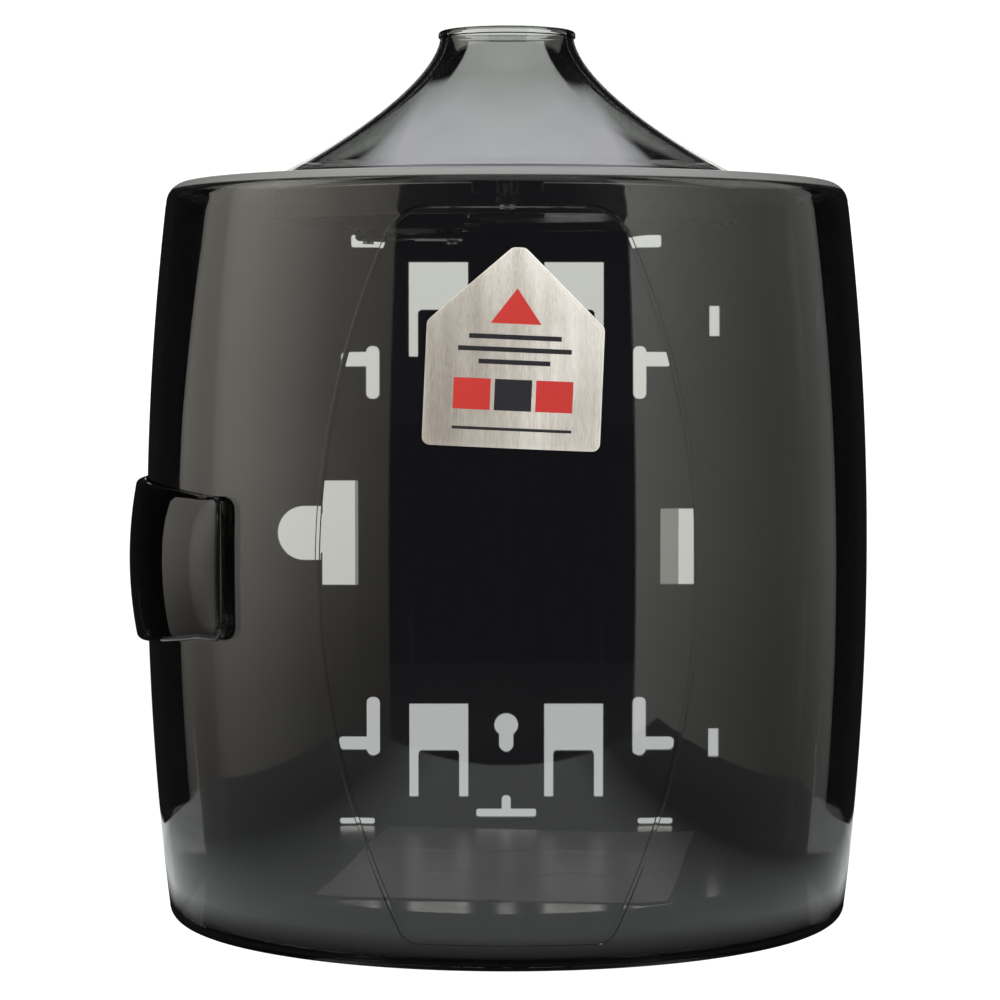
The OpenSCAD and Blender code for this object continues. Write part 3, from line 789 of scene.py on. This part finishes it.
dressed("rear_housing", "housing", BLACK, 0.35)
dressed("floor_tray", "housing", BLACK, 0.35)
dressed("dispensing_plate", "cover", BLACK_IN, 0.3)
dressed("adjuster_cover", "cover", BLACK_IN, 0.25)
dressed("tension_shutter", "shutter", BLACK_IN, 0.12)
dressed("tension_dial", "dial", DIAL, 0.12)
dressed("latch_keeper", "housing", STEEL, 0.12)
dressed("latch_hook", "latch", STEEL, 0.15)
for n, b in (("tray_screws", "housing"), ("plate_screws", "cover"), ("adjuster_screws", "cover"),
             ("keeper_screws", "housing"), ("hook_rivets", "latch"), ("hinge_pin_upper", "housing"),
             ("hinge_pin_lower", "housing"), ("dial_washer", "cover")):
    dressed(n, b, STEEL, 0.1)
piece(rod("latch_pin_look", LPX, LPY, 111.4, 158.8, 0.9, 0.0, 0.2, 40), "cover", STEEL, ["latch_pin"])
dressed("latch_spring", "cover", SPRING, 0.0, 60)
dressed("inner_label", "housing", FILM, 0.0)


# ------------------------------------------------------------------- grommet
def make_grommet():
    r = 8.5
    prof = [(r, 262.6), (r + 0.15, 261.9), (r + 0.6, 261.2), (r + 1.3, 260.85), (13.6, 260.8), (13.95, 261.0),
            (14.0, 261.4), (14.0, 261.95), (12.0, 262.0), (12.0, 264.5), (14.0, 264.55), (14.0, 265.1),
            (13.8, 265.45), (13.4, 265.6), (r + 1.5, 265.6), (r + 0.7, 265.3), (r + 0.15, 264.7), (r, 264.0)]
    return lathe("wipe_grommet_look", prof, 120, angle=50)


piece(make_grommet(), "cover", RUBBER, ["wipe_grommet"])

# --------------------------------------------------------------------- badge
BX, BZ, BROT = 2.4, 211.6, math.radians(-2.5)
BADGE = [(-27.3, -30.4), (27.3, -30.4), (27.3, 7.4), (1.2, 31.6), (-1.2, 31.6), (-27.3, 7.4)]


def rounded(poly, grow, per=7):
    """The polygon pushed out by grow, with arcs of that radius at its corners."""
    pts, n = [], len(poly)
    for i in range(n):
        p0, p, p1 = poly[i - 1], poly[i], poly[(i + 1) % n]
        a0 = math.atan2(p[1] - p0[1], p[0] - p0[0]) - math.pi / 2
        a1 = math.atan2(p1[1] - p[1], p1[0] - p[0]) - math.pi / 2
        while a1 < a0:
            a1 += 2 * math.pi
        for k in range(per):
            a = a0 + (a1 - a0) * k / (per - 1)
            pts.append((p[0] + grow * math.cos(a), p[1] + grow * math.sin(a)))
    return pts


def resample(loop, n):
    """n points spaced evenly round the loop, starting at its first."""
    lens = [math.dist(loop[i], loop[(i + 1) % len(loop)]) for i in range(len(loop))]
    total, out = sum(lens), []
    i, gone = 0, 0.0
    for k in range(n):
        want = total * k / n
        while gone + lens[i] < want and i < len(loop) - 1:
            gone += lens[i]
            i += 1
        t = (want - gone) / max(lens[i], 1e-9)
        a, b = loop[i], loop[(i + 1) % len(loop)]
        out.append((a[0] + (b[0] - a[0]) * t, a[1] + (b[1] - a[1]) * t))
    return out


def on_front(u, v, lift):
    """A point of the badge's own plane laid on the cover, lift above its surface."""
    x = BX + u * math.cos(BROT) - v * math.sin(BROT)
    z = BZ + u * math.sin(BROT) + v * math.cos(BROT)
    r = barrel(z) + RAISE + lift
    return (x, -math.sqrt(max(0.0, r * r - x * x)), z)


def pad_mesh(name, loops, flat_lift, back_lift, centre=(0.0, -2.0), fill=10):
    """A thin pad on the cover. loops are (outline, lift) from the back edge round to the face; the face is filled in towards the centre, every point laid on the curve."""
    n = len(loops[0][0])
    verts, faces = [], []
    for pts, lift in loops:
        for u, v in pts:
            verts.append(on_front(u, v, lift))
    faces += quads(len(loops), n, closed=True)
    last = loops[-1][0]
    start = (len(loops) - 1) * n
    for k in range(1, fill + 1):
        t = k / (fill + 1)
        for u, v in last:
            verts.append(on_front(u + (centre[0] - u) * t, v + (centre[1] - v) * t, flat_lift))
    faces += quads(fill + 1, n, closed=True, base=start)
    hub = len(verts)
    verts.append(on_front(*centre, flat_lift))
    ring = start + fill * n
    faces += [(ring + i, ring + (i + 1) % n, hub) for i in range(n)]
    # back
    first = loops[0][0]
    b0 = len(verts)
    for k in range(1, fill + 1):
        t = k / (fill + 1)
        for u, v in first:
            verts.append(on_front(u + (centre[0] - u) * t, v + (centre[1] - v) * t, back_lift))
    for i in range(n):
        j = (i + 1) % n
        faces.append((j, i, b0 + i, b0 + j))
    for k in range(fill - 1):
        for i in range(n):
            j = (i + 1) % n
            faces.append((b0 + k * n + j, b0 + k * n + i, b0 + (k + 1) * n + i, b0 + (k + 1) * n + j))
    hub2 = len(verts)
    verts.append(on_front(*centre, back_lift))
    ring = b0 + (fill - 1) * n
    faces += [(ring + (i + 1) % n, ring + i, hub2) for i in range(n)]
    ob = obj_from(name, verts, faces)
    outward(ob)
    smooth(ob, 40)
    return ob


def make_badge():
    n = 220
    plate = [(resample(rounded(BADGE, 2.6 - d), n), h) for d, h in
             ((0.25, 0.04), (0.05, 0.10), (0.0, 0.22), (0.0, 0.36), (0.12, 0.48), (0.3, 0.52))]
    pl = pad_mesh("badge_plate_look", plate, 0.52, 0.04)
    rim = [(0.35, 0.54), (0.30, 0.60), (0.34, 0.72), (0.55, 0.92), (0.95, 1.12), (1.45, 1.28), (2.0, 1.38), (2.55, 1.42)]
    dome = [(resample(rounded(BADGE, max(0.05, 2.6 - d)), n), h) for d, h in rim]
    dm = pad_mesh("badge_dome_look", dome, 1.44, 0.54)
    return pl, dm


plate_look, dome_look = make_badge()
piece(plate_look, "cover", FOIL, ["badge_plate"])
piece(dome_look, "cover", RESIN, ["badge_dome"])


def mark(name, outline, material, cells=8):
    """A printed shape, 0.01 mm proud of the foil. outline is a convex polygon in the badge's plane."""
    cu = sum(p[0] for p in outline) / len(outline)
    cv = sum(p[1] for p in outline) / len(outline)
    ring = []
    for i in range(len(outline)):
        a, b = outline[i], outline[(i + 1) % len(outline)]
        k = max(1, int(math.dist(a, b) / 1.2))
        ring += [(a[0] + (b[0] - a[0]) * t / k, a[1] + (b[1] - a[1]) * t / k) for t in range(k)]
    n, verts, faces = len(ring), [], []
    for t in range(cells):
        f = t / cells
        for u, v in ring:
            verts.append(on_front(u + (cu - u) * f, v + (cv - v) * f, 0.532))
    verts.append(on_front(cu, cv, 0.532))
    faces += quads(cells, n, closed=True)
    faces += [((cells - 1) * n + i, (cells - 1) * n + (i + 1) % n, cells * n) for i in range(n)]
    ob = obj_from(name, verts, faces)
    outward(ob, False, lambda c, nrm: -nrm.y)
    smooth(ob, 60)
    piece(ob, "cover", material)
    return ob


def bar(name, u0, u1, v0, v1, material):
    return mark(name, [(u0, v0), (u1, v0), (u1, v1), (u0, v1)], material)


mark("badge_mark_triangle", [(-8.5, 8.6), (8.5, 8.6), (0.0, 20.5)], INK_RED)
bar("badge_mark_line_1", -15.5, 15.5, 3.3, 4.9, INK_DARK)
bar("badge_mark_line_2", -19.0, 19.0, -0.9, 0.7, INK_DARK)
bar("badge_mark_line_3", -12.0, 12.0, -5.1, -3.5, INK_DARK)
bar("badge_mark_block_1", -20.0, -7.6, -20.5, -10.0, INK_RED)
bar("badge_mark_block_2", -6.2, 6.2, -20.5, -10.0, INK_DARK)
bar("badge_mark_block_3", 7.6, 20.0, -20.5, -10.0, INK_RED)
bar("badge_mark_rule", -20.0, 20.0, -27.2, -26.2, INK_DARK)


# -------------------------------------------------------------- folded sheet
def make_sheet():
    nx, ny, th = 48, 64, 0.4
    ca, sa = math.cos(math.radians(-6.8)), math.sin(math.radians(-6.8))
    top = []
    for j in range(ny + 1):
        for i in range(nx + 1):
            u, v = -63.8 + 127.6 * i / nx, -83.8 + 171.6 * j / ny
            fold = sum(0.5 * math.exp(-((v - c) / 2.2) ** 2) for c in (-26.0, 31.0))
            fold += 0.35 * math.exp(-((u - 1.0) / 2.0) ** 2)
            curl = 1.1 * max(0.0, (abs(u) - 46) / 18) ** 2 * (0.6 + 0.4 * math.sin(v * 0.045))
            wave = 0.22 + 0.22 * math.sin(u * 0.052 + 0.6) * math.sin(v * 0.037 + 1.1)
            lift = fold + curl + wave
            x, y = 4 + u * ca - v * sa, 29 + u * sa + v * ca
            top.append((x, y, 13.0 + th + lift))
    n = len(top)
    verts = top + [(x, y, z - th) for x, y, z in top]
    faces = quads(ny + 1, nx + 1)
    faces += [tuple(reversed([i + n for i in f])) for f in quads(ny + 1, nx + 1)]
    w = nx + 1
    edge = [i for i in range(w)] + [j * w + nx for j in range(1, ny + 1)]
    edge += [ny * w + i for i in range(nx - 1, -1, -1)] + [j * w for j in range(ny - 1, 0, -1)]
    for i in range(len(edge)):
        a, b = edge[i], edge[(i + 1) % len(edge)]
        faces.append((b, a, a + n, b + n))
    ob = obj_from("paper_insert_look", verts, faces)
    outward(ob)
    smooth(ob, 50)
    return ob


piece(make_sheet(), "housing", PAPER, ["paper_insert"])

# --------------------------------------------------------- table and lights
scene = bpy.context.scene
scene.view_settings.view_transform = "Standard"
scene.view_settings.look = "None"
scene.view_settings.exposure = 0.0
scene.view_settings.gamma = 1.0
scene.cycles.max_bounces = 16
scene.cycles.transmission_bounces = 12
scene.cycles.glossy_bounces = 5
scene.cycles.transparent_max_bounces = 24
scene.cycles.caustics_reflective = True
scene.cycles.caustics_refractive = True


def emitter(name, build):
    m = bpy.data.materials.new(name)
    m.use_nodes = True
    nt = m.node_tree
    nt.nodes.clear()
    out = nt.nodes.new("ShaderNodeOutputMaterial")
    build(nt, out)
    return m


def table_nodes(nt, out):
    """White table. Seen directly it is white all over; in mirror images and through the plastic it is a little dimmer,
    with painted light falling off towards the sides and a painted shadow where the object stands on it.
    """
    tc = nt.nodes.new("ShaderNodeTexCoord")
    sep = nt.nodes.new("ShaderNodeSeparateXYZ")
    nt.links.new(tc.outputs["Object"], sep.inputs[0])
    x2 = math_node(nt, "MULTIPLY", sep.outputs["X"], sep.outputs["X"])
    yn = math_node(nt, "MINIMUM", sep.outputs["Y"], 0.0)
    r = math_node(nt, "SQRT", math_node(nt, "ADD", x2, math_node(nt, "MULTIPLY", yn, yn)))
    # painted shadow: the table is made dark under the object's footprint, in mirror images and through the plastic
    painted_shadow_mask = math_node(nt, "MAXIMUM", remap(nt, r, 0.136, 0.158, 0.012, 1.0), remap(nt, sep.outputs["Y"], 0.132, 0.140, 0.012, 1.0))
    lp = nt.nodes.new("ShaderNodeLightPath")
    # painted light: the table is dimmer towards both sides, most to the right, and dimmer in front of the housing's
    # back than behind it
    left = remap(nt, sep.outputs["X"], -0.25, -0.13, 0.30, 1.0)
    right = remap(nt, sep.outputs["X"], 0.12, 0.22, 1.0, 0.22)
    back = remap(nt, sep.outputs["Y"], 0.135, 0.15, 0.80, 1.03)
    own = math_node(nt, "MULTIPLY", math_node(nt, "MULTIPLY", painted_shadow_mask, back), math_node(nt, "MULTIPLY", left, right))
    e = nt.nodes.new("ShaderNodeEmission")
    e.inputs["Color"].default_value = (0.95, 0.975, 1.0, 1)
    nt.links.new(own, e.inputs["Strength"])
    seen = nt.nodes.new("ShaderNodeEmission")
    seen.inputs["Color"].default_value = (1.0, 1.0, 1.0, 1)
    seen.inputs["Strength"].default_value = 1.1
    mix = nt.nodes.new("ShaderNodeMixShader")
    nt.links.new(lp.outputs["Is Camera Ray"], mix.inputs["Fac"])
    nt.links.new(e.outputs[0], mix.inputs[1])
    nt.links.new(seen.outputs[0], mix.inputs[2])
    nt.links.new(mix.outputs[0], out.inputs["Surface"])


def make_table():
    loop = [(-380, -420), (380, -420), (380, 5), (325, 60), (272, 99), (207, 174), (160, 290), (150, 900),
            (-150, 900), (-160, 290), (-207, 174), (-285, 110), (-330, 70), (-380, 20)]
    ob = obj_from("table", [(x, y, -0.02) for x, y in loop], [tuple(range(len(loop)))])
    outward(ob, False, lambda c, nrm: nrm.z)
    ob.data.materials.append(emitter("table_white", table_nodes))
    return ob


make_table()


def card(name, a0, far, radius, z0, z1, stops, vertical, tone):
    """A curved soft light round the object. It runs from azimuth a0, measured from the front, to an edge given by (height, azimuth) pairs; its brightness is set along it by azimuth and up it by height."""
    n, k = 60, 36
    verts, faces, uvs = [], [], []
    span = max(abs(a - a0) for _, a in far)
    for j in range(k + 1):
        z = z0 + (z1 - z0) * j / k
        edge = far[0][1]
        for (za, aa), (zb, ab) in zip(far, far[1:]):
            if z >= za:
                edge = aa + (ab - aa) * min(1.0, (z - za) / (zb - za))
        for i in range(n + 1):
            deg = a0 + (edge - a0) * i / n
            a = math.radians(deg)
            verts.append((radius * math.sin(a), -radius * math.cos(a), z))
            uvs.append((abs(deg - a0) / span, j / k))
    faces = quads(k + 1, n + 1)
    ob = obj_from(name, verts, faces)
    uv = ob.data.uv_layers.new(name="card")
    for poly in ob.data.polygons:
        for li in poly.loop_indices:
            uv.data[li].uv = uvs[ob.data.loops[li].vertex_index]

    def build(nt, out):
        u = nt.nodes.new("ShaderNodeUVMap")
        u.uv_map = "card"
        sep = nt.nodes.new("ShaderNodeSeparateXYZ")
        nt.links.new(u.outputs["UV"], sep.inputs[0])
        across = ramp(nt, sep.outputs["X"], [(abs(a - a0) / span, (v / 2, v / 2, v / 2, 1)) for a, v in stops])
        up = ramp(nt, sep.outputs["Y"], [((z - z0) / (z1 - z0), (v / 2, v / 2, v / 2, 1)) for z, v in vertical])
        mul = nt.nodes.new("ShaderNodeMixRGB")
        mul.blend_type = "MULTIPLY"
        mul.inputs["Fac"].default_value = 1.0
        nt.links.new(across, mul.inputs["Color1"])
        nt.links.new(up, mul.inputs["Color2"])
        tint = nt.nodes.new("ShaderNodeMixRGB")
        tint.blend_type = "MULTIPLY"
        tint.inputs["Fac"].default_value = 1.0
        nt.links.new(mul.outputs[0], tint.inputs["Color1"])
        tint.inputs["Color2"].default_value = (*tone, 1)
        e = nt.nodes.new("ShaderNodeEmission")
        nt.links.new(tint.outputs[0], e.inputs["Color"])
        e.inputs["Strength"].default_value = 4.0
        nt.links.new(e.outputs[0], out.inputs["Surface"])

    ob.data.materials.append(emitter(name + "_light", build))
    ob.visible_camera = False
    return ob


card("card_left", -33.8, [(-700, -119), (-132, -118.5), (183, -118), (368, -112), (1100, -108)], 900, -700, 1100,
     [(-33.8, 0.55), (-53, 0.82), (-61, 1.1), (-71.6, 1.42), (-83, 1.56), (-92, 1.46), (-97.5, 1.16), (-99.3, 0.84), (-106, 0.76), (-119, 0.66)],
     [(-700, 0.16), (-150, 0.24), (-39, 0.42), (60, 0.7), (183, 0.96), (257, 1.0), (466, 1.24), (1100, 1.2)], (1.0, 0.957, 0.865))
card("card_right", 36.8, [(-700, 120), (-135, 120), (11, 119.5), (183, 118), (368, 116), (1100, 112)], 900, -700, 1100,
     [(36.8, 1.36), (45, 1.2), (55, 0.95), (64, 0.78), (75, 0.6), (86, 0.45), (98, 0.40), (108, 0.42), (120, 0.42)],
     [(-700, 0.35), (-150, 0.5), (-39, 0.68), (100, 0.92), (257, 1.0), (466, 1.25), (1100, 1.2)], (1.0, 0.985, 0.95))


def overhead():
    v = [(-500, -500, 1300), (500, -500, 1300), (500, 700, 1300), (-500, 700, 1300)]
    ob = obj_from("card_top", v, [(0, 3, 2, 1)])

    def build(nt, out):
        e = nt.nodes.new("ShaderNodeEmission")
        e.inputs["Color"].default_value = (1, 0.99, 0.97, 1)
        e.inputs["Strength"].default_value = 1.6
        nt.links.new(e.outputs[0], out.inputs["Surface"])

    ob.data.materials.append(emitter("card_top_light", build))
    ob.visible_camera = False
    ob.visible_glossy = False
    ob.visible_transmission = False


overhead()


def front_fill():
    """Large soft light behind the camera. It shows in no mirror image."""
    v = [(-800, -1700, 100), (800, -1700, 100), (800, -1700, 1300), (-800, -1700, 1300)]
    ob = obj_from("card_front", v, [(0, 3, 2, 1)])

    def build(nt, out):
        e = nt.nodes.new("ShaderNodeEmission")
        e.inputs["Color"].default_value = (1, 0.985, 0.95, 1)
        e.inputs["Strength"].default_value = FILL
        nt.links.new(e.outputs[0], out.inputs["Surface"])

    ob.data.materials.append(emitter("card_front_light", build))
    ob.visible_camera = False
    ob.visible_glossy = False
    ob.visible_transmission = False


FILL = 6.3
front_fill()


def make_world():
    """White for what is seen directly, and straight behind the object between two dark side flags for what is seen through it or mirrored at a low angle; dim elsewhere."""
    w = bpy.data.worlds.new("studio")
    scene.world = w
    w.use_nodes = True
    nt = w.node_tree
    nt.nodes.clear()
    out = nt.nodes.new("ShaderNodeOutputWorld")
    tc = nt.nodes.new("ShaderNodeTexCoord")
    sep = nt.nodes.new("ShaderNodeSeparateXYZ")
    nt.links.new(tc.outputs["Generated"], sep.inputs[0])
    x, y, z = sep.outputs
    lift = math_node(nt, "MULTIPLY", remap(nt, z, -0.12, 0.03, 1.04, 1.30), remap(nt, z, 0.045, 0.06, 1.0, 0.83))
    ax = math_node(nt, "ABSOLUTE", x)
    slope = math_node(nt, "DIVIDE", ax, math_node(nt, "MAXIMUM", y, 0.001))
    high = remap(nt, z, 0.090, 0.175, math.tan(math.radians(WIN_A)), math.tan(math.radians(WIN_B)))
    low = remap(nt, z, 0.040, 0.050, math.tan(math.radians(5.6)), 0.0)
    reach = math_node(nt, "MAXIMUM", high, low)
    window = remap(nt, math_node(nt, "DIVIDE", slope, reach), 0.97, 1.05, 1.0, 0.0)
    window = math_node(nt, "MULTIPLY", window, remap(nt, z, 0.45, 0.55, 1.0, 0.0))
    lp = nt.nodes.new("ShaderNodeLightPath")
    seen = math_node(nt, "MULTIPLY", math_node(nt, "MAXIMUM", window, lp.outputs["Is Camera Ray"]), lift)
    g = math_node(nt, "GREATER_THAN", lp.outputs["Glossy Depth"], 0.5)
    d = math_node(nt, "GREATER_THAN", lp.outputs["Diffuse Depth"], 0.5)
    front = remap(nt, y, -0.1, 0.1, 1.0, 0.0)
    mirrored = math_node(nt, "MULTIPLY", math_node(nt, "MAXIMUM", g, d), front)
    room = math_node(nt, "ADD", math_node(nt, "MULTIPLY", mirrored, 0.10), 0.010)
    above = math_node(nt, "MULTIPLY", remap(nt, y, 0.05, 0.42, 0.0, 1.0), remap(nt, ax, 0.25, 0.45, 1.0, 0.0))
    above = math_node(nt, "MULTIPLY", above, math_node(nt, "MULTIPLY", g, remap(nt, z, 0.6, 0.7, 0.0, 1.0)))
    room = math_node(nt, "ADD", room, above)
    a = nt.nodes.new("ShaderNodeBackground")
    a.inputs["Color"].default_value = (0.985, 1.0, 0.965, 1)
    nt.links.new(seen, a.inputs["Strength"])
    b = nt.nodes.new("ShaderNodeBackground")
    b.inputs["Color"].default_value = (0.97, 0.93, 1.10, 1)
    nt.links.new(room, b.inputs["Strength"])
    add = nt.nodes.new("ShaderNodeAddShader")
    nt.links.new(a.outputs[0], add.inputs[0])
    nt.links.new(b.outputs[0], add.inputs[1])
    nt.links.new(add.outputs[0], out.inputs["Surface"])


WIN_A, WIN_B = 4.0, 8.8
make_world()
